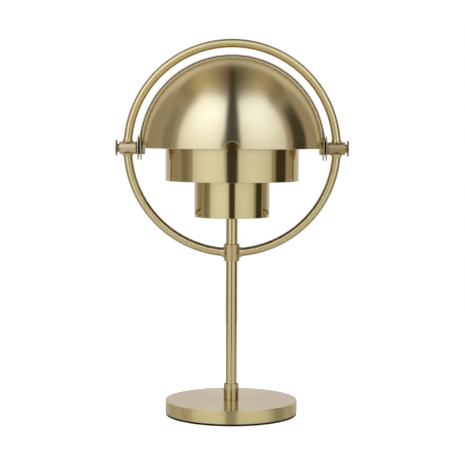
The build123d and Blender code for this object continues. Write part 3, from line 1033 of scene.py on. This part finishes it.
def shade_piece(name, radius, lug_proud, mirrored):
    """One shade: its sheet, and at each side the wall and the flat lug pressed out of it."""
    swell = (sheet_swell, 0) if mirrored else (0, sheet_swell)
    vertices, normals, faces, rim_faces = shade_sheet(radius, swell, mirrored)
    uvs = brush_round_upright(vertices, faces, radius)
    placed = [(pivot + p) * MM for p in vertices]
    sheet = mesh_object(f"{name}_brass", placed, normals, faces, uvs, dome_brass)
    sheet.data.materials.append(cut_edge)
    for face in sheet.data.polygons[-rim_faces:]:
        face.material_index = 1
    lug_face = radius + lug_proud
    wall_foot = sqrt(radius ** 2 - lug_seat_radius ** 2) - wall_into_sheet
    made = [sheet]
    for side in (1, -1):
        made.append(lug_disc(f"{name}_lug_{side}", side, lug_face - sheet_mm, lug_face))
        made.append(lug_wall(f"{name}_wall_{side}", side, wall_foot, lug_face - wall_into_lug,
                             mirrored))
    return dress(joined(f"{name}_brass", made), name, "lacquered_brass", name)


shade_piece("back_shade", back_radius, outer_lug_proud, False)
shade_piece("front_shade", front_radius, inner_lug_proud, True)
washer_pair("inner_friction_washers_fibre", "inner_friction_washers",
            front_radius + inner_lug_proud + washer_play,
            back_radius + outer_lug_proud - sheet_mm - washer_play, black_fibre, "black_fibre",
            "front_shade")
print("shades:", round(front_radius, 1), "and", round(back_radius, 1), "mm radius")

# %% [markdown]
# ## The drums
#
# Two open cylinders of polished sheet under the dome, one inside the other. Their edges are only
# deburred, and they mirror more sharply than the dome. A plain cylinder would do for the outside;
# they are turned with both faces, because the inside shows from below and when the dome is open.

# %% Drums
drum_wall = 1.0


def drum_piece(node):
    """A drum: a thin wall with slightly rounded edges."""
    low, high = span(node)
    corners = tube(high.x - drum_wall, high.x, low.z, high.z, (0.3, 0.35, 0.35, 0.3))
    drum = lathe(f"{node}_brass", corners, drum_brass, segments=256)
    print(node, round(2 * high.x, 1), "mm across")
    return dress(drum, "stand", "lacquered_brass", node)


drum_piece("outer_drum")
drum_piece("inner_drum")

# %% [markdown]
# ## The drums' fasteners
#
# Each drum is held at three places near its lower edge, the small one by cap screws and the large
# one by rivets. A strap hangs behind each, from an arm of the carrier. A head stands square to the
# wall, so the corner between the two throws the view straight back: that is the dark line beside
# it. A bump in the metal could not do that, so the heads are turned and set through the wall.

# %% Drum fasteners
carrier_sheet = 1.5
strap_width = 11.6
strap_above_edge = 0.8
strap_steps = 8
screw_rise = 7.6
rivet_rise = 3.6
arm_angles = (90, 210, 330)


def across_wall(angle, height):
    """Matrix that puts a piece turned about Z through a drum's wall, pointing outwards."""
    turned = Matrix.Rotation(radians(angle), 4, "Z") @ Matrix.Rotation(radians(90), 4, "Y")
    return Matrix.Translation(Vector((0, 0, height * MM))) @ turned


def strap(name, angle, radius, bottom, top):
    """A sheet strap that is bent to the inside of a drum's wall."""
    corners = tube(radius - carrier_sheet, radius, bottom, top, (0.3, 0.3, 0.3, 0.3))
    half_turn, up = asin(strap_width / 2 / radius), Vector((0, 0, 1))
    sections, ways = [], []
    for i in range(strap_steps + 1):
        turn = radians(angle) + half_turn * (2 * i / strap_steps - 1)
        out = Vector((cos(turn), sin(turn), 0))
        ways.append(Vector((-sin(turn), cos(turn), 0)))
        sections.append([(out * point.x + up * point.y, out * normal.x + up * normal.y)
                         for point, normal in outline(corners, True)])
    return swept(name, sections, lambda i, k: (0.0, 0.0), white_steel, flip=True,
                 end_normals=(-ways[0], ways[-1]))


def drum_fasteners(drum, carrier, word, head, rise):
    """Three heads through a drum's lower edge, and their straps. head(wall) outlines one."""
    low, high = span(drum)
    heads = [lathe(f"{drum}_{word}_{angle}", head(high.x), stem_brass, False,
                   across_wall(angle, low.z + rise), 48) for angle in arm_angles]
    dress(joined(f"{drum}_{word}_brass", heads), "stand", "lacquered_brass")
    straps = [strap(f"{carrier}_strap_{angle}", angle, high.x - drum_wall - fit_mm,
                    low.z + strap_above_edge, span(carrier)[0].z) for angle in arm_angles]
    dress(joined(f"{carrier}_straps_steel", straps), "stand", "white_steel")


def cap_screw(wall):
    """A cap screw: the end of its thread, the thread, and a head with its socket."""
    thread, head, socket = 2.0, 3.6, 1.6
    end, seat, top, floor = wall - 4.6, wall - 0.2, wall + 3.2, wall + 1.2
    return [(0, end, 0), (thread, end, 0.3), (thread, seat, 0.05), (head, seat, 0.1),
            (head, top, 0.5), (socket, top, 0.1), (socket, floor, 0.1), (0, floor, 0)]


def rivet(wall):
    """A rivet: its closed end inside, the shank, and a low head outside."""
    closed_end, shank, head, crown = 2.0, 1.4, 2.4, 1.2
    end, tail, seat, shoulder, top = wall - 3.5, wall - 2.4, wall - 0.1, wall + 0.3, wall + 1.0
    return [(0, end, 0), (closed_end, end, 0.5), (closed_end, tail, 0.05), (shank, tail, 0.05),
            (shank, seat, 0.05), (head, seat, 0.05), (head, shoulder, 0.25), (crown, top, 0.8),
            (0, top, 0)]


drum_fasteners("inner_drum", "lower_carrier", "screws", cap_screw, screw_rise)
drum_fasteners("outer_drum", "upper_carrier", "rivets", rivet, rivet_rise)
print("fasteners:", 2 * len(arm_angles))

# %% [markdown]
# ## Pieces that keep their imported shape
#
# The weight and its nut in the base, the carriers, the lampholder and the bulb are right as they
# come, and are mostly hidden. Making them again would add nothing, so each only takes its finish.

# %% Finishes of the CAD nodes that stay
kept_finishes = {
    "base_weight": cast_iron, "cord_bush": black_moulding, "stem_washer": zinc_steel,
    "stem_nut": zinc_steel, "grub_screws": zinc_steel, "upper_carrier": white_steel,
    "lower_carrier": white_steel, "holder_nipple": zinc_steel, "holder_cap": black_moulding,
    "holder_body": black_moulding, "holder_shell": holder_brass, "bulb_cap": cap_nickel,
    "bulb_glass": opal_glass}
for node, material in kept_finishes.items():
    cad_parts[node].data.materials[0] = material
print("nodes that keep their shape:", len(kept_finishes))
